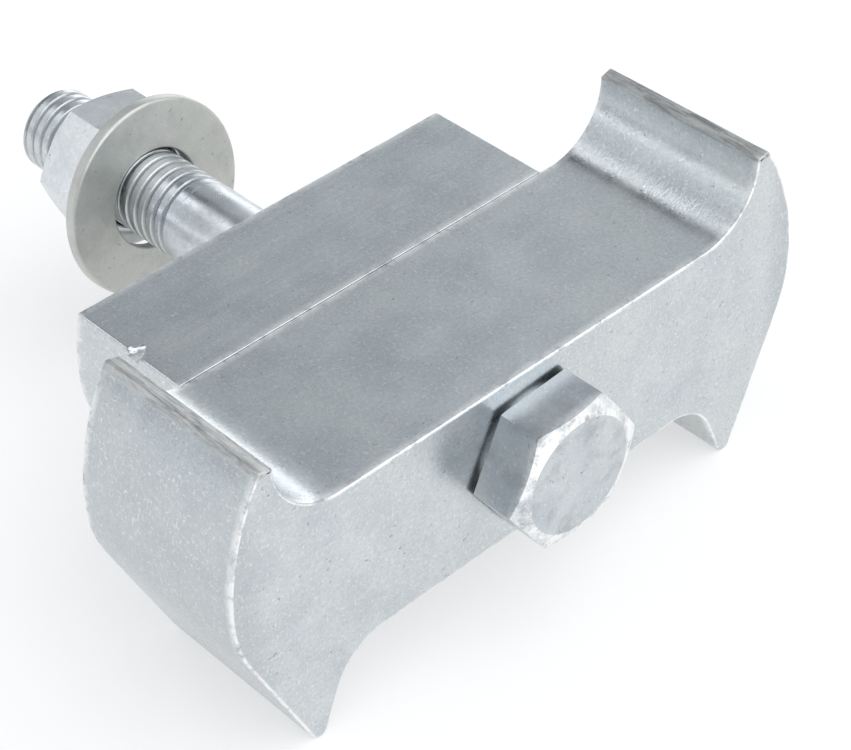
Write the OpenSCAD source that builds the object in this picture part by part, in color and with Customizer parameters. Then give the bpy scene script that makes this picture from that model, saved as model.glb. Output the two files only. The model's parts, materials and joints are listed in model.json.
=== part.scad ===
// Two-block bolt clamp, zinc plated steel.
// A horned jaw block and a plain pressure block slide on one M12 hex bolt,
// held by a flat washer and a hex nut. Millimetres, +Z up, bolt along +Y.

/* [Jaw block] */
// Depth of the jaw block along the bolt
jaw_depth = 26; // [18:0.5:34]
// Height of the straight waist between the saddles
waist_height = 24; // [22:0.5:28]
// Greatest width over the bulged outer ends
jaw_width = 91; // [88:0.5:100]
// Height of the upper horn tips above the bolt axis
upper_tip_height = 21.6; // [20.8:0.1:22.4]
// Depth of the lower horn tips below the bolt axis
lower_tip_depth = 23.2; // [22:0.1:26]
// Radius of the upper saddle corners
upper_scoop_r = 9; // [8.6:0.1:9.4]
// Radius of the lower saddle corners
lower_scoop_r = 8; // [6:0.5:9]
// Radius of the rounded lower horn tips
lower_tip_r = 1.2; // [0.8:0.1:1.6]
// Width of the cut land on each upper horn tip
upper_land = 1.75; // [1:0.05:2]

/* [Pressure block] */
// Depth of the pressure block along the bolt
block_depth = 19; // [12:0.5:24]
// Greatest width over its bulged ends
block_width = 60.7; // [50:0.1:70]
// Sideways offset of the pressure block from the bolt axis
block_offset = -1.65; // [-3:0.05:3]
// Air gap between the two blocks at rest
seam_gap = 0.1; // [0.05:0.05:0.5]

/* [Fasteners] */
// Length of the bolt under its head
bolt_length = 94; // [90:1:110]
// Length of the threaded part, with its end chamfer
thread_length = 32.7; // [30:0.1:34]
// Width across flats of the bolt head and the nut
across_flats = 18; // [18:0.5:19]
// Height of the bolt head, with its round washer face
head_height = 7.5; // [7:0.1:8]
// Turn of the bolt head about the bolt axis
head_turn = 3.3; // [0:0.1:60]
// Height of the nut
nut_height = 10; // [9:0.1:10.8]
// Turn of the nut about the bolt axis
nut_turn = 52.5; // [0:0.5:60]
// Distance from the head's seat to the nut's near face
nut_place = 73.7; // [73.7:0.1:80]
// Outer diameter of the washer
washer_d = 28; // [24:0.5:30]
// Hole diameter of the washer
washer_hole_d = 14; // [13.8:0.1:15]
// Thickness of the washer
washer_t = 1.7; // [1:0.1:2]
// Lean of the hanging washer, its top edge towards the nut
washer_lean = 6; // [0:0.5:6]
// Swing of the hanging washer about the vertical
washer_swing = 2.5; // [0:0.5:4]

/* [Clearances] */
// Diameter of the bolt holes through both blocks
bolt_hole_d = 13; // [12.6:0.1:14]
// Radial running clearance between the nut's bore and the thread
thread_clearance = 0.08; // [0.02:0.01:0.1]

/* [Hidden] */

$fn = 96;
eps = 0.01;
reach = 60;                       // longer than any half of the jaw block

// Metric M12 sizes
shank_r = 6;
thread_r = 5.95;
thread_start = bolt_length - thread_length;
end_chamfer = 1.2;
end_chamfer_len = 1.4;
runout_len = 0.6;
washer_face_h = 0.6;
washer_face_r = 8.3;
corner_chamfer_angle = 30;
corner_r = across_flats / sqrt(3);

// Jaw outline: the bulge is two arcs that share the level of greatest width
bulge_z = 3;
upper_bulge_r = 34;
lower_bulge_r = 20;
lower_wall_angle = 24;
waist = waist_height / 2;
upper_c = [jaw_width / 2 - upper_bulge_r, bulge_z];
lower_c = [jaw_width / 2 - lower_bulge_r, bulge_z];

// Upper horn: its cut land runs from the saddle to the bulge
land_rise = 0.5;
land_out_x = upper_c[0] + sqrt(pow(upper_bulge_r, 2) - pow(upper_tip_height - bulge_z, 2));
land_in_x = land_out_x - upper_land;
scoop_c = [land_in_x - upper_scoop_r, waist + upper_scoop_r];

// Lower horn: a tip circle tangent to the outer wall and to the saddle's wall
function unit(a) = [cos(a), sin(a)];
function angle_of(v) = atan2(v[1], v[0]);
outer_n = unit(-lower_wall_angle);
tip_z = -lower_tip_depth + lower_tip_r;
tip_x = lower_c[0] + (lower_bulge_r - lower_tip_r - outer_n[1] * (tip_z - bulge_z)) / outer_n[0];
tip_c = [tip_x, tip_z];
lower_scoop_c = [tip_x - 10.75, -waist - lower_scoop_r];
scoop_to_tip = tip_c - lower_scoop_c;
inner_n = unit(angle_of(scoop_to_tip) + acos((lower_scoop_r + lower_tip_r) / norm(scoop_to_tip)));

// Outlines of the lower horn, of the bulge (shifted sideways, up to z = top) and of the upper horn
arc_step = 3;                     // degrees between the points of an arc
function arc(c, r, a0, a1, first = 0) =
    let (n = ceil(abs(a1 - a0) / arc_step)) [for (i = [first:n]) c + r * unit(a0 + (a1 - a0) * i / n)];
inner_a = angle_of(inner_n);
lower_horn = concat(
    arc(lower_scoop_c, lower_scoop_r, 90, inner_a),
    arc(tip_c, lower_tip_r, inner_a + 180, 360 - lower_wall_angle)
);
function bulge(shift, top) = concat(
    arc(lower_c + [shift, 0], lower_bulge_r, -lower_wall_angle, 0),
    arc(upper_c + [shift, 0], upper_bulge_r, 0, asin((top - bulge_z) / upper_bulge_r), 1)
);
upper_horn = concat(
    [[land_in_x, upper_tip_height - land_rise]],
    arc(scoop_c, upper_scoop_r, 0, -90)
);

// Pressure block: the same bulged ends as the jaw block, without horns
block_front = jaw_depth + seam_gap;
block_shift = (block_width - jaw_width) / 2;
wall_run = (lower_bulge_r + outer_n[1] * (waist + bulge_z)) / outer_n[0];
wall_foot = [lower_c[0] + block_shift + wall_run, -waist];

// Hanging washer: it rests on the thread, so its middle is below the bolt axis
washer_drop = 0.7;
washer_place = nut_place - 2.9;

// The row's origin is below the middle of the bounding box, on the horn tips
mid_y = (bolt_length - head_height) / 2;
axis_z = lower_tip_depth;

zinc = [0.74, 0.77, 0.79];
zinc_dark = [0.64, 0.68, 0.71];
zinc_warm = [0.72, 0.72, 0.70];

// Moves a piece from the bolt's frame to the row's frame
module place() {
    translate([0, -mid_y, axis_z]) children();
}

// A prism along the bolt, from y = start. half holds the (x, z) points of its outline's
// right half from bottom to top, and the left half mirrors them.
module slab(start, depth, half) {
    last = len(half) - 1;
    left = [for (i = [last:-1:0]) [-half[i][0], half[i][1]]];
    translate([0, start + depth, 0]) rotate([90, 0, 0]) linear_extrude(depth) polygon(concat(half, left));
}

// A cylinder or cone along the bolt, from y = start
module rod(start, length, r1, r2 = undef) {
    translate([0, start, 0]) rotate([-90, 0, 0]) cylinder(h = length, r1 = r1, r2 = is_undef(r2) ? r1 : r2);
}

// A hexagon along the bolt whose corners are cut by 30 degree cones at the chosen ends
module hexagon(start, height, turn, near_cut, far_cut) {
    flat_r = across_flats / 2;
    cone_h = (reach - flat_r) * tan(corner_chamfer_angle);
    intersection() {
        translate([0, start, 0]) rotate([-90, -turn, 0]) cylinder(h = height, r = corner_r, $fn = 6);
        if (near_cut) rod(start, cone_h, flat_r, reach);
        if (far_cut) rod(start + height - cone_h, cone_h, reach, flat_r);
    }
}

module jaw_block() {
    color(zinc) place() difference() {
        slab(0, jaw_depth, concat(lower_horn, bulge(0, upper_tip_height), upper_horn));
        rod(-eps, jaw_depth + 2 * eps, bolt_hole_d / 2);
    }
}

module pressure_block() {
    color(zinc_dark) place() difference() {
        translate([block_offset, 0, 0])
            slab(block_front, block_depth, concat([wall_foot], bulge(block_shift, waist)));
        rod(block_front - eps, block_depth + 2 * eps, bolt_hole_d / 2);
    }
}

module hex_bolt() {
    color(zinc) place() {
        hexagon(-head_height, head_height - washer_face_h, head_turn, true, false);
        rod(-washer_face_h, washer_face_h, washer_face_r);
        rod(0, thread_start - runout_len, shank_r);
        rod(thread_start - runout_len, runout_len, shank_r, thread_r);
        rod(thread_start, thread_length - end_chamfer_len, thread_r);
        rod(bolt_length - end_chamfer_len, end_chamfer_len, thread_r, thread_r - end_chamfer);
    }
}

module flat_washer() {
    color(zinc_warm) place()
        translate([0, washer_place, -washer_drop]) rotate([-washer_lean, 0, washer_swing]) difference() {
            rod(0, washer_t, washer_d / 2);
            rod(-eps, washer_t + 2 * eps, washer_hole_d / 2);
        }
}

module hex_nut() {
    bore_r = thread_r + thread_clearance;
    mouth = 0.6;
    color(zinc) place() difference() {
        hexagon(nut_place, nut_height, nut_turn, true, true);
        rod(nut_place - eps, nut_height + 2 * eps, bore_r);
        rod(nut_place - eps, mouth, bore_r + mouth, bore_r);
        rod(nut_place + nut_height - mouth + eps, mouth, bore_r, bore_r + mouth);
    }
}

jaw_block();
pressure_block();
hex_bolt();
flat_washer();
hex_nut();
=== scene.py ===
"""Looks of a zinc plated two-block bolt clamp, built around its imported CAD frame."""
import json
import math

import bmesh
import bpy
from mathutils import Euler, Matrix, Vector, noise

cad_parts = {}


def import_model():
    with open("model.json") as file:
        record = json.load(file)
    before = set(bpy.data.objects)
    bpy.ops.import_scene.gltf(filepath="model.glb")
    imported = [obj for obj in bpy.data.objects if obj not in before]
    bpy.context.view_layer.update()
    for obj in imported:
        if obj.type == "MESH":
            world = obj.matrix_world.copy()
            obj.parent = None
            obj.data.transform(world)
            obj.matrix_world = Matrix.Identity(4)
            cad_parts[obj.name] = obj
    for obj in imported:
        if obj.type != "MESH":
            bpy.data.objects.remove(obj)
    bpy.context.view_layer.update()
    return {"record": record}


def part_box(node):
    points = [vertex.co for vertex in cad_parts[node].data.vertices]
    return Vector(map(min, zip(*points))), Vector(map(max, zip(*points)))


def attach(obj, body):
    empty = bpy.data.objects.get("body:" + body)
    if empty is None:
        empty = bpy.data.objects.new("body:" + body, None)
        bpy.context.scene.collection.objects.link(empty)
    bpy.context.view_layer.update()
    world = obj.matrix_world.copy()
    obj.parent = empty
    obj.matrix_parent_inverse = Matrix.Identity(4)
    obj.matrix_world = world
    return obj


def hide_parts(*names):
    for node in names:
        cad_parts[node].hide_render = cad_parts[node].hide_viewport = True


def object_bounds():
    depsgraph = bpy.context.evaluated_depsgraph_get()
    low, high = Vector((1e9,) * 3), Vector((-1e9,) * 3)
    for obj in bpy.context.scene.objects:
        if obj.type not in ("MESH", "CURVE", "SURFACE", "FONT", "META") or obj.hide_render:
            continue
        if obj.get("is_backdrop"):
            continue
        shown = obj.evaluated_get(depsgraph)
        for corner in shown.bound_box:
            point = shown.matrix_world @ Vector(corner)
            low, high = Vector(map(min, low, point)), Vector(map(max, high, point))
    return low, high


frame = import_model()

MM = 0.001
RECORD_JOINTS = {j["name"]: j for j in frame["record"]["behaviour"]["joints"]}
# The middle of the head's seat on the bolt axis: every shape below is drawn from here, in mm
SEAT = Vector(RECORD_JOINTS["bolt_spin"]["pos_m"])


def local_box(node):
    """A node's low and high corners in mm from the seat."""
    low, high = (Vector(corner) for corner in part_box(node))
    return (low - SEAT) / MM, (high - SEAT) / MM


JAW_LOW, JAW_HIGH = local_box("jaw_block")
BLOCK_LOW, BLOCK_HIGH = local_box("pressure_block")
BOLT_LOW, BOLT_HIGH = local_box("hex_bolt")
NUT_LOW, NUT_HIGH = local_box("hex_nut")
WASHER_LOW, WASHER_HIGH = local_box("flat_washer")

# Outline of the jaw block, as in the CAD part
WAIST = BLOCK_HIGH.z
BULGE_Z = 3.0
UPPER_BULGE_R = 34.0
LOWER_BULGE_R = 20.0
LOWER_WALL_ANGLE = 24.0
UPPER_SCOOP_R = 9.0
LOWER_SCOOP_R = 8.0
LOWER_TIP_R = 1.2
UPPER_LAND = 1.75
LAND_RISE = 0.5
SCOOP_REACH = 10.75

# Points round the bolt in every turned shape, and the rows along a block's sides
AROUND = 96
ROW_LENGTH = 1.0

# Fasteners
BOLT_HOLE_R = 6.5
ACROSS_FLATS = 18.0
HEAD_TURN = 3.3
NUT_TURN = 52.5
HEAD_DISC_R = 7.9
HEAD_DISC_DIP = 0.13
HEX_START = 1.8
WASHER_FACE_H = 0.6
WASHER_FACE_R = 8.3
SEAT_GAP = 0.01
SHANK_R = 6.0
THREAD_R = 5.95
THREAD_LENGTH = 32.7
THREAD_PITCH = 1.75
THREAD_DEPTH = 0.9
ROOT_SHARE = 0.18
END_R = 4.75
END_CHAMFER_LEN = 1.4
THREAD_RUNOUT = 0.6
NUT_BORE_R = 6.03
NUT_MOUTH = 0.6
NUT_FACE_SHARE = 0.955
NUT_HEX_START = 1.7
WASHER_R = 14.0
WASHER_HOLE_R = 7.0
WASHER_T = 1.7
WASHER_LEAN = 6.0
WASHER_SWING = 2.5


# ---------------------------------------------------------------- shapes

def unit(degrees):
    a = math.radians(degrees)
    return Vector((math.cos(a), math.sin(a)))


def arc(centre, r, a0, a1, step, first=0):
    """Points (x, z) of an arc, in degrees."""
    n = math.ceil(abs(a1 - a0) / step)
    return [centre + r * unit(a0 + (a1 - a0) * i / n) for i in range(first, n + 1)]


def lower_centre(half_width):
    return Vector((half_width - LOWER_BULGE_R, BULGE_Z))


def bulge(half_width, top):
    """The bulged end of a block: its lower arc, then its upper arc to z = top."""
    upper_c = Vector((half_width - UPPER_BULGE_R, BULGE_Z))
    top_a = math.degrees(math.asin((top - BULGE_Z) / UPPER_BULGE_R))
    return (arc(lower_centre(half_width), LOWER_BULGE_R, -LOWER_WALL_ANGLE, 0, 1.5)
            + arc(upper_c, UPPER_BULGE_R, 0, top_a, 1.5, 1))


def jaw_outline():
    """Right half of the jaw block's outline, from the lower saddle round to the upper one."""
    half = JAW_HIGH.x
    top = JAW_HIGH.z
    lower_c = lower_centre(half)
    outer_n = unit(-LOWER_WALL_ANGLE)
    tip_z = JAW_LOW.z + LOWER_TIP_R
    run = LOWER_BULGE_R - LOWER_TIP_R - outer_n.y * (tip_z - BULGE_Z)
    tip_c = Vector((lower_c.x + run / outer_n.x, tip_z))
    scoop_c = Vector((tip_c.x - SCOOP_REACH, -WAIST - LOWER_SCOOP_R))
    across = tip_c - scoop_c
    inner_a = math.degrees(math.atan2(across.y, across.x)
                           + math.acos((LOWER_SCOOP_R + LOWER_TIP_R) / across.length))
    land_out_x = half - UPPER_BULGE_R + math.sqrt(UPPER_BULGE_R ** 2 - (top - BULGE_Z) ** 2)
    land_in_x = land_out_x - UPPER_LAND
    upper_scoop_c = Vector((land_in_x - UPPER_SCOOP_R, WAIST + UPPER_SCOOP_R))
    return (arc(scoop_c, LOWER_SCOOP_R, 90, inner_a, 3)
            + arc(tip_c, LOWER_TIP_R, inner_a + 180, 360 - LOWER_WALL_ANGLE, 12)
            + bulge(half, top)
            + [Vector((land_in_x, top - LAND_RISE))]
            + arc(upper_scoop_c, UPPER_SCOOP_R, 0, -90, 3))


def block_outline():
    """Right half of the pressure block's outline."""
    half = (BLOCK_HIGH.x - BLOCK_LOW.x) / 2
    outer_n = unit(-LOWER_WALL_ANGLE)
    run = (LOWER_BULGE_R + outer_n.y * (WAIST + BULGE_Z)) / outer_n.x
    return [Vector((lower_centre(half).x + run, -WAIST))] + bulge(half, WAIST)


def full_outline(half, shift=0.0, longest=1.0):
    """Both halves as one loop, with long straight runs cut into steps."""
    mirrored = [Vector((-p.x, p.y)) for p in reversed(half)]
    corners = [p + Vector((shift, 0)) for p in half + mirrored]
    loop = []
    for a, b in zip(corners, corners[1:] + corners[:1]):
        n = max(1, math.ceil((b - a).length / longest))
        loop += [a.lerp(b, i / n) for i in range(n)]
    return loop


def outward(loop, i):
    """Mitred outward normal of a counter-clockwise loop at point i."""
    before, here, after = loop[i - 1], loop[i], loop[(i + 1) % len(loop)]
    a, b = (here - before).normalized(), (after - here).normalized()
    na, nb = Vector((a.y, -a.x)), Vector((b.y, -b.x))
    return (na + nb) / max(0.3, 1 + na.dot(nb))


def round_corners(loop, r, min_turn=20):
    """Replaces every sharp corner of a loop with a small arc."""
    out = []
    for i, here in enumerate(loop):
        before, after = loop[i - 1] - here, loop[(i + 1) % len(loop)] - here
        turn = math.pi - before.angle(after)
        if turn < math.radians(min_turn):
            out.append(here)
            continue
        cut = min(r * math.tan(turn / 2), 0.45 * before.length, 0.45 * after.length)
        a, b = here + before.normalized() * cut, here + after.normalized() * cut
        out += [a.lerp(here, t).lerp(here.lerp(b, t), t) for t in (0, 0.2, 0.4, 0.6, 0.8, 1)]
    return out


def wear(point, normal, amount, cell, seed):
    """Moves a point on a worn edge inwards by an uneven amount."""
    n = noise.noise(point / cell + Vector((seed, 0, 0)))
    fine = noise.noise(point / (cell * 0.35) + Vector((0, seed, 0)))
    return point - normal * amount * max(0.0, 0.5 + 0.6 * n + 0.4 * fine)


def rim_rings(edge, y, side):
    """Rings (inset, y, worn) of a rounded rim, from the flat cap outwards."""
    rings = [(edge + 0.15, y, False)]
    for angle in (0, 22, 45, 68):
        a = math.radians(angle)
        rings.append((edge * (1 - math.sin(a)), y + side * edge * (1 - math.cos(a)), True))
    return rings


def block_mesh(loop, y0, y1, hole_r, edges, amount, cell, seed):
    """A prism of the loop along the bolt, bored at the axis, with rounded and worn rims.

    The "edge" attribute is 1 on the rims and 0 elsewhere.
    """
    bm = bmesh.new()
    mark = bm.verts.layers.float.new("edge")
    first, last = y0 + edges[0], y1 - edges[1]
    rows = math.ceil((last - first) / ROW_LENGTH)
    body = [(0.0, first + (last - first) * i / rows, i in (0, rows)) for i in range(rows + 1)]
    near, far = rim_rings(edges[0], y0, 1), rim_rings(edges[1], y1, -1)
    hole = [hole_r * unit(-360 * i / AROUND) for i in range(AROUND)]
    for points, factor in ((loop, 1.0), (hole, 0.8)):
        normals = [outward(points, i) for i in range(len(points))]
        rings = []
        for depth, y, on_rim in near + body + far[::-1]:
            ring = []
            for p, n in zip(points, normals):
                q = p - n * depth * factor
                co = Vector((q.x, y, q.y))
                if on_rim and depth > 0:
                    out = Vector((n.x, -0.7 if y < (y0 + y1) / 2 else 0.7, n.y)).normalized()
                    co = wear(co, out, amount * min(1.0, depth / 0.2), cell, seed)
                v = bm.verts.new(co)
                v[mark] = float(on_rim)
                ring.append(v)
            rings.append(ring)
        for ring, following in zip(rings, rings[1:]):
            for i in range(len(points)):
                j = (i + 1) % len(points)
                bm.faces.new([ring[i], following[i], following[j], ring[j]])
    for side in (-1, 1):
        rim = [e for e in bm.edges if e.is_boundary
               and (e.verts[0].co.y - (y0 + y1) / 2) * side > 0]
        bmesh.ops.triangle_fill(bm, use_beauty=True, use_dissolve=False, edges=rim)
    bmesh.ops.recalc_face_normals(bm, faces=bm.faces)
    return bm


def hex_radius(theta, turn):
    """Distance from the axis to the hexagon's side in direction theta (degrees)."""
    off = (theta - turn) % 60 - 30
    return ACROSS_FLATS / 2 / math.cos(math.radians(off))


def rings_mesh(bm, rings, closed=False):
    """Skins rings of (r, y) functions of the angle round the bolt. A ring of radius 0 is one point."""
    n = AROUND
    made = []
    for ring in rings:
        if ring(0)[0] == 0:
            made.append([bm.verts.new((0, ring(0)[1], 0))])
            continue
        points = []
        for i in range(n):
            r, y = ring(360 * i / n)
            x, z = r * unit(360 * i / n)
            points.append(bm.verts.new((x, y, z)))
        made.append(points)
    pairs = list(zip(made, made[1:])) + ([(made[-1], made[0])] if closed else [])
    for a, b in pairs:
        for i in range(n):
            j = (i + 1) % n
            corners = [a[i % len(a)], a[j % len(a)], b[j % len(b)], b[i % len(b)]]
            unique = [v for k, v in enumerate(corners) if v not in corners[:k]]
            bm.faces.new(unique)


def soften(bm, width):
    """Rounds the sharp edges and marks them in the "edge" attribute."""
    mark = bm.verts.layers.float.new("edge")
    sharp = [e for e in bm.edges if e.is_manifold and e.calc_face_angle(0) > math.radians(24)]
    made = bmesh.ops.bevel(bm, geom=sharp, offset=width, segments=3, profile=0.5, affect="EDGES",
                           clamp_overlap=False)
    for v in made["verts"]:
        v[mark] = 1.0


def round_ring(r, y):
    return lambda theta: (r, y)


def chamfer_ring(turn, y, face_r, side, angle=30):
    """Where a cone from face_r on the face at y meets the hexagon; side is 1 towards the bolt's end."""
    slope = math.tan(math.radians(angle)) * side

    def ring(theta):
        r = hex_radius(theta, turn)
        return r, y + (r - face_r) * slope
    return ring


def hex_ring(turn, y):
    return lambda theta: (hex_radius(theta, turn), y)


def groove(u):
    """Depth of the thread, 0 to 1, at the fraction u of a pitch: a wide round crest and a narrow root."""
    off = abs(u - 0.5) / ROOT_SHARE
    return 0.0 if off >= 1 else (0.5 + 0.5 * math.cos(math.pi * off)) ** 0.85


def thread_mesh(bm, y0, y1):
    """A right-handed helical thread whose rows follow the helix, with a run-out and a chamfered end."""
    n = AROUND
    steps = 14
    total = math.ceil((y1 - y0 + THREAD_PITCH) / THREAD_PITCH) * steps + steps
    fade_len = 1.3 * THREAD_PITCH

    def point(i, j):
        y = y0 - THREAD_PITCH + THREAD_PITCH * (i / steps + j / n)
        y = min(max(y, y0), y1)
        fade = min(1.0, (y - y0) / fade_len)
        fade = fade * fade * (3 - 2 * fade)
        r = SHANK_R + (THREAD_R - SHANK_R) * fade - THREAD_DEPTH * fade * groove(i % steps / steps)
        to_end = (y1 - y) / END_CHAMFER_LEN
        r = min(r, END_R + (THREAD_R - END_R) * min(1.0, to_end))
        x, z = r * unit(-360 * j / n)
        return x, y, z

    grid = [[bm.verts.new(point(i, j)) for j in range(n)] for i in range(total + steps + 1)]
    for i in range(total):
        for j in range(n):
            # one turn further on, the helix has climbed by one pitch
            right, right_up = (grid[i][j + 1], grid[i + 1][j + 1]) if j < n - 1 else (
                grid[i + steps][0], grid[i + 1 + steps][0])
            bm.faces.new([grid[i][j], right, right_up, grid[i + 1][j]])


def finish_mesh(name, bm, smooth_angle=35.0, turn=None, centre=None):
    """Turns a mesh in mm from the seat into an object in the row's frame."""
    bmesh.ops.remove_doubles(bm, verts=bm.verts, dist=1e-5)
    bmesh.ops.dissolve_degenerate(bm, edges=bm.edges, dist=1e-6)
    bmesh.ops.recalc_face_normals(bm, faces=bm.faces)
    if turn is not None:
        bm.transform(Matrix.Translation(centre) @ turn.to_4x4())
    bm.transform(Matrix.Translation(SEAT) @ Matrix.Scale(MM, 4))
    mesh = bpy.data.meshes.new(name)
    bm.to_mesh(mesh)
    bm.free()
    mesh.shade_smooth()
    mesh.set_sharp_from_angle(angle=math.radians(smooth_angle))
    obj = bpy.data.objects.new(name, mesh)
    bpy.context.collection.objects.link(obj)
    weighted = obj.modifiers.new("normals", "WEIGHTED_NORMAL")
    weighted.keep_sharp = True
    weighted.weight = 60
    return obj


def settle(piece, body, node, material):
    piece.data.materials.append(material)
    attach(piece, body)
    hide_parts(node)


# ---------------------------------------------------------------- pieces

def jaw_block():
    loop = round_corners(full_outline(jaw_outline()), 0.3)
    bm = block_mesh(loop, JAW_LOW.y, JAW_HIGH.y, BOLT_HOLE_R, (0.22, 0.1), 0.05, 0.8, 3.1)
    return finish_mesh("jaw_block_steel", bm)


def pressure_block():
    shift = (BLOCK_LOW.x + BLOCK_HIGH.x) / 2
    loop = round_corners(full_outline(block_outline(), shift), 0.35)
    bm = block_mesh(loop, BLOCK_LOW.y, BLOCK_HIGH.y, BOLT_HOLE_R, (0.1, 0.22), 0.05, 1.0, 7.7)
    return chipped(finish_mesh("pressure_block_steel", bm))


def chipped(obj):
    """Cuts the small chip out of the block's left top edge."""
    left, top, y = BLOCK_LOW.x, WAIST, BLOCK_LOW.y
    bm = bmesh.new()
    for corner in ((left + 1.0, y + 9.4, top + 0.5), (left + 3.7, y + 8.5, top + 0.5),
                   (left + 2.0, y + 6.6, top + 0.5), (left + 0.9, y + 7.0, top + 0.5),
                   (left - 0.6, y + 9.6, top - 0.9), (left - 0.6, y + 6.9, top - 0.9),
                   (left + 2.4, y + 8.2, top - 0.7)):
        bm.verts.new(corner)
    bmesh.ops.convex_hull(bm, input=bm.verts)
    cutter = finish_mesh("chip", bm, 10)
    boolean = obj.modifiers.new("chip", "BOOLEAN")
    boolean.operation = "DIFFERENCE"
    boolean.solver = "EXACT"
    boolean.object = cutter
    bpy.context.view_layer.update()
    cut = bpy.data.meshes.new_from_object(obj.evaluated_get(bpy.context.evaluated_depsgraph_get()))
    obj.modifiers.clear()
    obj.data = cut
    cut.set_sharp_from_angle(angle=math.radians(30))
    bpy.data.objects.remove(cutter)
    return obj


def hex_bolt():
    bm = bmesh.new()
    face_y = BOLT_LOW.y
    thread_y = BOLT_HIGH.y - THREAD_LENGTH - THREAD_RUNOUT
    rings_mesh(bm, [
        round_ring(0, face_y + HEAD_DISC_DIP), round_ring(HEAD_DISC_R - 0.4, face_y + HEAD_DISC_DIP),
        round_ring(HEAD_DISC_R - 0.1, face_y), round_ring(HEAD_DISC_R, face_y),
        chamfer_ring(HEAD_TURN, face_y, HEAD_DISC_R, 1, 22), hex_ring(HEAD_TURN, face_y + HEX_START),
        hex_ring(HEAD_TURN, -WASHER_FACE_H - 0.5), hex_ring(HEAD_TURN, -WASHER_FACE_H),
        round_ring(WASHER_FACE_R, -WASHER_FACE_H), round_ring(WASHER_FACE_R - 0.1, -SEAT_GAP),
        round_ring(SHANK_R, -SEAT_GAP), round_ring(SHANK_R, thread_y),
    ])
    soften(bm, 0.14)
    mark = bm.verts.layers.float["edge"]
    # the head's front rim gets the rim paint too: rubbed wear and a painted highlight
    for v in bm.verts:
        if v.co.y < face_y + 1.2 and math.hypot(v.co.x, v.co.z) > HEAD_DISC_R - 0.05:
            v[mark] = 1.0
    thread_mesh(bm, thread_y, BOLT_HIGH.y)
    rings_mesh(bm, [round_ring(END_R, BOLT_HIGH.y), round_ring(END_R - 0.9, BOLT_HIGH.y),
                    round_ring(0, BOLT_HIGH.y - 0.15)])
    return finish_mesh("hex_bolt_steel", bm, 50)


def hex_nut():
    bm = bmesh.new()
    near, far = NUT_LOW.y, NUT_HIGH.y
    face_r = ACROSS_FLATS / 2 * NUT_FACE_SHARE
    mouth_r = NUT_BORE_R + NUT_MOUTH
    rings_mesh(bm, [
        round_ring(NUT_BORE_R, near + NUT_MOUTH), round_ring(mouth_r, near), round_ring(face_r, near),
        chamfer_ring(NUT_TURN, near, face_r, 1), hex_ring(NUT_TURN, near + NUT_HEX_START),
        hex_ring(NUT_TURN, far - NUT_HEX_START), chamfer_ring(NUT_TURN, far, face_r, -1),
        round_ring(face_r, far), round_ring(mouth_r, far), round_ring(NUT_BORE_R, far - NUT_MOUTH),
    ], closed=True)
    soften(bm, 0.14)
    return finish_mesh("hex_nut_steel", bm, 50)


def flat_washer():
    """A punched ring: rolled over on its front rim, with a sharper edge behind."""
    bm = bmesh.new()
    half = WASHER_T / 2
    profile = [
        (WASHER_HOLE_R + 0.3, -half), (WASHER_R - 0.5, -half), (WASHER_R - 0.2, -half + 0.07),
        (WASHER_R - 0.05, -half + 0.22), (WASHER_R, -half + 0.45), (WASHER_R, half - 0.08),
        (WASHER_R - 0.08, half), (WASHER_HOLE_R + 0.08, half), (WASHER_HOLE_R, half - 0.08),
        (WASHER_HOLE_R, -half + 0.35), (WASHER_HOLE_R + 0.08, -half + 0.1),
    ]
    rings_mesh(bm, [round_ring(r, y) for r, y in profile], closed=True)
    lean = Euler((math.radians(-WASHER_LEAN), 0, math.radians(WASHER_SWING))).to_matrix()
    return finish_mesh("flat_washer_steel", bm, 60, lean, (WASHER_LOW + WASHER_HIGH) / 2)


# ---------------------------------------------------------------- materials

FLECK = (0.95, 0.97, 1.0, 1)
PIT = (0.2, 0.21, 0.23, 1)
WARM_TINT = (0.70, 0.71, 0.66, 1)
SMUDGE = (0.22, 0.22, 0.23, 1)
RUBBED_AND_HIGHLIGHT = (0.98, 0.98, 0.97, 1)
DIRT = (0.28, 0.28, 0.29, 1)
LAND_OXIDE_AND_SHADE = (0.17, 0.16, 0.15, 1)
LAND_HIGHLIGHT = (0.6, 0.59, 0.57, 1)


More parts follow.
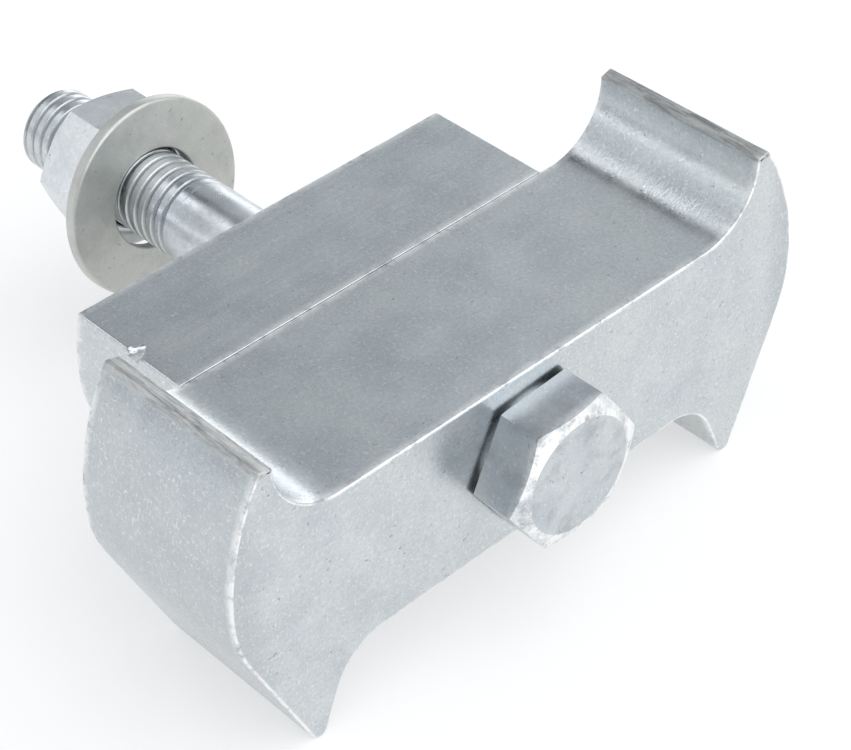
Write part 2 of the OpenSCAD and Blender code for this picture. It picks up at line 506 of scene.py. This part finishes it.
class Nodes:
    """A short way to build a material's node tree."""

    def __init__(self, name):
        self.material = bpy.data.materials.new(name)
        self.material.use_nodes = True
        self.tree = self.material.node_tree
        self.shader = self.tree.nodes["Principled BSDF"]
        self.coords = self.tree.nodes.new("ShaderNodeTexCoord").outputs["Object"]

    def add(self, kind, inputs=None, **settings):
        node = self.tree.nodes.new("ShaderNode" + kind)
        for key, value in settings.items():
            setattr(node, key, value)
        for key, value in (inputs or {}).items():
            self.feed(node.inputs[key], value)
        return node

    def feed(self, socket, value):
        if isinstance(value, bpy.types.NodeSocket):
            self.tree.links.new(value, socket)
        else:
            socket.default_value = value

    def stretched(self, scale):
        """Object coordinates times (x, y, z) scales, per metre."""
        return self.add("Mapping", {"Vector": self.coords, "Scale": scale}).outputs["Vector"]

    def noise(self, scale, detail=3.0, rough=0.55, distortion=0.0):
        return self.add("TexNoise", {"Vector": self.stretched(scale), "Scale": 1.0, "Detail": detail,
                                     "Roughness": rough, "Distortion": distortion}).outputs["Fac"]

    def ramp(self, value, low, high, to_low=0.0, to_high=1.0):
        return self.add("MapRange", {"Value": value, "From Min": low, "From Max": high, "To Min": to_low,
                                     "To Max": to_high}, clamp=True).outputs["Result"]

    def math(self, operation, a, b=0.0):
        return self.add("Math", {0: a, 1: b}, operation=operation).outputs[0]

    def mix(self, fac, a, b):
        node = self.add("Mix", data_type="RGBA")
        self.feed(node.inputs["Factor"], fac)
        self.feed(node.inputs["A"], a)
        self.feed(node.inputs["B"], b)
        return node.outputs["Result"]

    def bump(self, height, distance, strength=1.0, normal=None):
        node = self.add("Bump", {"Height": height, "Distance": distance, "Strength": strength})
        if normal is not None:
            self.feed(node.inputs["Normal"], normal)
        return node.outputs["Normal"]


def darker(colour, share):
    return [c * share for c in colour[:3]] + [1]


def zinc(name, light, dark, rough, grain, streaks=0.0, flecks=0.5, contrast=0.45, rim=0.0, block=False,
         smudge=0.0):
    """Bright zinc on steel: mottled colour, crystal grain, drawn lines, pits, flecks and handling marks."""
    n = Nodes(name)
    cloud = n.noise((160, 160, 160), 4)
    colour = n.mix(n.ramp(cloud, 0.36, 0.64), dark, light)
    tint = n.noise((60, 60, 60), 2)
    colour = n.mix(n.ramp(tint, 0.4, 0.65, 0, 0.5), colour, n.mix(0.5, light, WARM_TINT))
    crystal = n.noise((2100, 2100, 2100), 3, 0.75)
    colour = n.mix(n.ramp(crystal, 0.38, 0.62, 0, contrast), colour, darker(light, 0.7))
    pits = n.ramp(n.noise((900, 2300, 1300), 2, 0.8), 0.66, 0.74, 0, 0.6)
    colour = n.mix(pits, colour, PIT)
    spark = n.math("MAXIMUM", n.ramp(n.noise((2900, 1300, 1700), 2, 0.8), 0.6, 0.68, 0, flecks),
                   n.ramp(n.noise((1200, 3100, 2500), 2, 0.8), 0.62, 0.69, 0, flecks))
    if block:
        _, reach = height_and_reach(n)
        # towards the outer ends of the blocks the colour is made darker, and scuffs add white flecks there
        outer = n.ramp(reach, (JAW_HIGH.x - 5) * MM, (JAW_HIGH.x - 2) * MM)
        scuffs = n.ramp(n.noise((3000, 2600, 900), 2, 0.8), 0.56, 0.7, 0, 0.5)
        scuffs = n.math("MULTIPLY", scuffs, n.ramp(n.noise((230, 230, 230), 2), 0.42, 0.6))
        colour = n.mix(n.math("MULTIPLY", outer, 0.4), colour, darker(dark, 0.7))
        spark = n.math("MAXIMUM", spark, n.math("MULTIPLY", scuffs, outer))
    colour = n.mix(spark, colour, FLECK)
    roughness = n.ramp(cloud, 0.3, 0.7, rough * 0.85, rough * 1.2)
    height = n.math("ADD", crystal, n.math("MULTIPLY", spark, 0.6))
    height = n.math("SUBTRACT", height, n.math("MULTIPLY", pits, 0.8))
    normal = n.bump(n.noise((130, 130, 130), 2), 0.00004)
    if streaks:
        wide = n.noise((25, 700, 700), 3, 0.7)
        drawn = n.noise((70, 4200, 4200), 2, 0.7)
        colour = n.mix(n.ramp(wide, 0.45, 0.62, 0, streaks), colour, darker(dark, 0.8))
        colour = n.mix(n.ramp(drawn, 0.52, 0.68, 0, streaks), colour, darker(dark, 0.72))
        normal = n.bump(drawn, 0.000012, 1.0, normal)
    if smudge:
        patch = n.ramp(n.noise((240, 170, 240), 4, 0.65), 0.5, 0.66, 0, smudge)
        colour = n.mix(patch, colour, SMUDGE)
        roughness = n.math("ADD", roughness, n.math("MULTIPLY", patch, 0.2))
    if rim:
        colour, roughness = worn_and_highlit_rim(n, colour, roughness, rim)
    if block:
        colour, roughness = horn_land(n, colour, roughness)
        height = n.math("ADD", height, scoop_pebbles(n))
    normal = n.bump(height, grain, 1.0, normal)
    n.feed(n.shader.inputs["Base Color"], colour)
    n.feed(n.shader.inputs["Metallic"], 1.0)
    n.feed(n.shader.inputs["Roughness"], roughness)
    n.feed(n.shader.inputs["Normal"], normal)
    return n.material


def worn_and_highlit_rim(n, colour, roughness, amount):
    """Rims painted bright in places, partly rubbed wear and partly a painted highlight, with dull dirt in
    others.
    """
    rim = n.add("Attribute", attribute_name="edge").outputs["Fac"]
    patchy = n.noise((330, 330, 330), 4, 0.75)
    bright = n.math("MULTIPLY", rim, n.ramp(patchy, 0.36, 0.54, 0, amount))
    dull = n.math("MULTIPLY", rim, n.ramp(n.noise((420, 420, 420), 3, 0.7), 0.56, 0.68, 0, 0.6))
    # painted highlight along the rims, partly rubbed wear
    colour = n.mix(bright, colour, RUBBED_AND_HIGHLIGHT)
    colour = n.mix(dull, colour, DIRT)
    return colour, n.math("ADD", roughness, n.math("MULTIPLY", rim, 0.12))


def height_and_reach(n):
    """The z and |x| of a point in the part's own frame, metres."""
    parts = n.add("SeparateXYZ", {"Vector": n.coords}).outputs
    return parts["Z"], n.math("ABSOLUTE", parts["X"])


def horn_land(n, colour, roughness):
    """The sheared lands on top of the horns: rough, dark and brownish from oxide and painted shade, with
    painted highlight streaks.
    """
    z, _ = height_and_reach(n)
    top = SEAT.z + (JAW_HIGH.z - 1.0) * MM
    on_land = n.ramp(z, top, top + 0.0005)
    streak = n.noise((1500, 170, 1500), 4, 0.75, 0.4)
    # painted shade and painted highlight streaks on the lands, over their own oxide-dark colour
    dark = n.mix(n.ramp(streak, 0.4, 0.6), LAND_OXIDE_AND_SHADE, LAND_HIGHLIGHT)
    mixed = n.mix(n.math("MULTIPLY", on_land, 0.65), colour, dark)
    return mixed, n.math("ADD", roughness, n.math("MULTIPLY", on_land, 0.18))


def scoop_pebbles(n):
    """Crumpled skin low in the upper scoops: short ridges that follow the scoop's curve."""
    z, reach = height_and_reach(n)
    low = n.ramp(z, SEAT.z + (WAIST + 0.2) * MM, SEAT.z + (WAIST + 1.2) * MM)
    high = n.ramp(z, SEAT.z + (WAIST + 2.5) * MM, SEAT.z + (WAIST + 6.0) * MM, 1, 0)
    inside = n.ramp(reach, (JAW_HIGH.x - 15.5) * MM, (JAW_HIGH.x - 11.5) * MM)
    zone = n.math("MULTIPLY", n.math("MULTIPLY", low, high), inside)
    return n.math("MULTIPLY", zone, n.math("MULTIPLY", n.noise((900, 2600, 900), 3, 0.7), 5.0))


# ---------------------------------------------------------------- stage

FLOOR_SIZE = 6.0
FLOOR_PAINT = 0.52
FLOOR_GLOW = 0.49


def floor():
    bm = bmesh.new()
    bmesh.ops.create_grid(bm, x_segments=8, y_segments=8, size=FLOOR_SIZE)
    mesh = bpy.data.meshes.new("floor")
    bm.to_mesh(mesh)
    bm.free()
    obj = bpy.data.objects.new("floor", mesh)
    obj.location.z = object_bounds()[0][2]
    bpy.context.collection.objects.link(obj)
    material = bpy.data.materials.new("floor_white")
    material.use_nodes = True
    shader = material.node_tree.nodes["Principled BSDF"]
    shader.inputs["Base Color"].default_value = (FLOOR_PAINT, FLOOR_PAINT, FLOOR_PAINT, 1)
    shader.inputs["Emission Color"].default_value = (1, 1, 1, 1)
    shader.inputs["Emission Strength"].default_value = FLOOR_GLOW
    shader.inputs["Roughness"].default_value = 0.9
    shader.inputs["Specular IOR Level"].default_value = 0.0
    mesh.materials.append(material)
    obj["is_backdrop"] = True


def direction(azimuth, elevation):
    """Unit vector towards a place seen from the object. Azimuth 0 is +Y and 90 is +X."""
    a, e = math.radians(azimuth), math.radians(elevation)
    return Vector((math.sin(a) * math.cos(e), math.cos(a) * math.cos(e), math.sin(e)))


def softbox(name, azimuth, elevation, distance, size, power):
    light = bpy.data.lights.new(name, "AREA")
    light.shape = "RECTANGLE"
    light.size, light.size_y = size
    light.energy = power
    obj = bpy.data.objects.new(name, light)
    towards = direction(azimuth, elevation)
    obj.location = towards * distance
    obj.rotation_euler = towards.to_track_quat("Z", "Y").to_euler()
    bpy.context.collection.objects.link(obj)


def flag(azimuth, elevation, distance, width, height):
    """A black card that puts a dark band into the polished curves."""
    bm = bmesh.new()
    bmesh.ops.create_grid(bm, x_segments=2, y_segments=2, size=0.5)
    bmesh.ops.scale(bm, vec=(width, height, 1), verts=bm.verts)
    mesh = bpy.data.meshes.new("flag")
    bm.to_mesh(mesh)
    bm.free()
    obj = bpy.data.objects.new("flag", mesh)
    towards = direction(azimuth, elevation)
    obj.location = towards * distance
    obj.rotation_euler = towards.to_track_quat("Z", "Y").to_euler()
    bpy.context.collection.objects.link(obj)
    material = bpy.data.materials.new("flag_black")
    material.use_nodes = True
    shader = material.node_tree.nodes["Principled BSDF"]
    shader.inputs["Base Color"].default_value = (0.02, 0.02, 0.02, 1)
    shader.inputs["Roughness"].default_value = 1.0
    mesh.materials.append(material)
    obj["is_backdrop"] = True


def sky_dome(name, azimuth, elevation, spread, strength):
    light = bpy.data.lights.new(name, "SUN")
    light.energy = strength
    light.angle = math.radians(spread)
    obj = bpy.data.objects.new(name, light)
    obj.rotation_euler = direction(azimuth, elevation).to_track_quat("Z", "Y").to_euler()
    bpy.context.collection.objects.link(obj)


def world(colour, strength):
    w = bpy.data.worlds.new("studio")
    w.use_nodes = True
    background = w.node_tree.nodes["Background"]
    background.inputs["Color"].default_value = colour
    background.inputs["Strength"].default_value = strength
    bpy.context.scene.world = w


CAMERA_LENS = 103.97
CAMERA_AZIMUTH = 41.714
CAMERA_DIP = 40.444
CAMERA_ROLL = -2.351
CAMERA_DISTANCE = 0.29796
# From the seat to the point aimed at, close to the bolt axis
CAMERA_AIM = Vector((-0.0001646, 0.018268, -0.0001285))


def camera():
    data = bpy.data.cameras.new("camera")
    data.lens = CAMERA_LENS
    data.sensor_width = 36.0
    data.clip_start = 0.01
    obj = bpy.data.objects.new("camera", data)
    aim = SEAT + CAMERA_AIM
    away = -direction(CAMERA_AZIMUTH, -CAMERA_DIP)
    roll = Matrix.Rotation(math.radians(CAMERA_ROLL), 3, "Z")
    turn = away.to_track_quat("Z", "Y").to_matrix() @ roll
    obj.matrix_world = Matrix.Translation(aim + away * CAMERA_DISTANCE) @ turn.to_4x4()
    bpy.context.collection.objects.link(obj)
    bpy.context.scene.camera = obj


# ---------------------------------------------------------------- the clamp on its stage

# Light and dark zinc of each piece
BLOCK_ZINC = (0.655, 0.69, 0.705, 1), (0.56, 0.60, 0.625, 1)
BOLT_ZINC = (0.63, 0.66, 0.68, 1), (0.52, 0.56, 0.6, 1)
WASHER_ZINC = (0.64, 0.64, 0.61, 1), (0.54, 0.55, 0.52, 1)
NUT_ZINC = (0.74, 0.76, 0.78, 1), (0.64, 0.67, 0.7, 1)

settle(jaw_block(), "jaw", "jaw_block",
       zinc("jaw_zinc_plate", *BLOCK_ZINC, 0.27, 0.000014, flecks=0.36, rim=0.75, block=True))
settle(pressure_block(), "pressure", "pressure_block",
       zinc("pressure_zinc_plate", *BLOCK_ZINC, 0.27, 0.00001, streaks=0.2, flecks=0.4, rim=0.6,
            block=True))
settle(hex_bolt(), "bolt", "hex_bolt",
       zinc("bolt_zinc_plate", *BOLT_ZINC, 0.29, 0.00001, flecks=0.3, contrast=0.25, rim=0.85,
            smudge=0.3))
settle(flat_washer(), "washer", "flat_washer",
       zinc("washer_zinc_plate", *WASHER_ZINC, 0.45, 0.000008, flecks=0.12, contrast=0.15,
            smudge=0.15))
settle(hex_nut(), "nut", "hex_nut",
       zinc("nut_zinc_plate", *NUT_ZINC, 0.24, 0.000008, flecks=0.25, contrast=0.2, rim=0.7,
            smudge=0.1))

floor()
world((0.90, 0.95, 1.0, 1), 0.58)
sky_dome("front_dome", 160, 55, 80, 1.6)
softbox("scoop_box", -12, 53, 0.9, (0.24, 0.3), 0.34)
softbox("back_left_fill", -50, 33, 0.9, (1.1, 0.55), 0.65)
softbox("nut_box", -53, 18, 0.9, (0.28, 0.14), 0.14)
softbox("right_fill", 66, 38, 0.9, (0.45, 0.6), 0.14)
softbox("right_box", 60, 8, 0.9, (1.0, 0.3), 1.4)
softbox("front_box", -175, 8, 0.9, (1.0, 0.35), 2.0)
flag(17, 54, 0.9, 0.17, 0.42)
camera()

bpy.context.scene.view_settings.view_transform = "Standard"
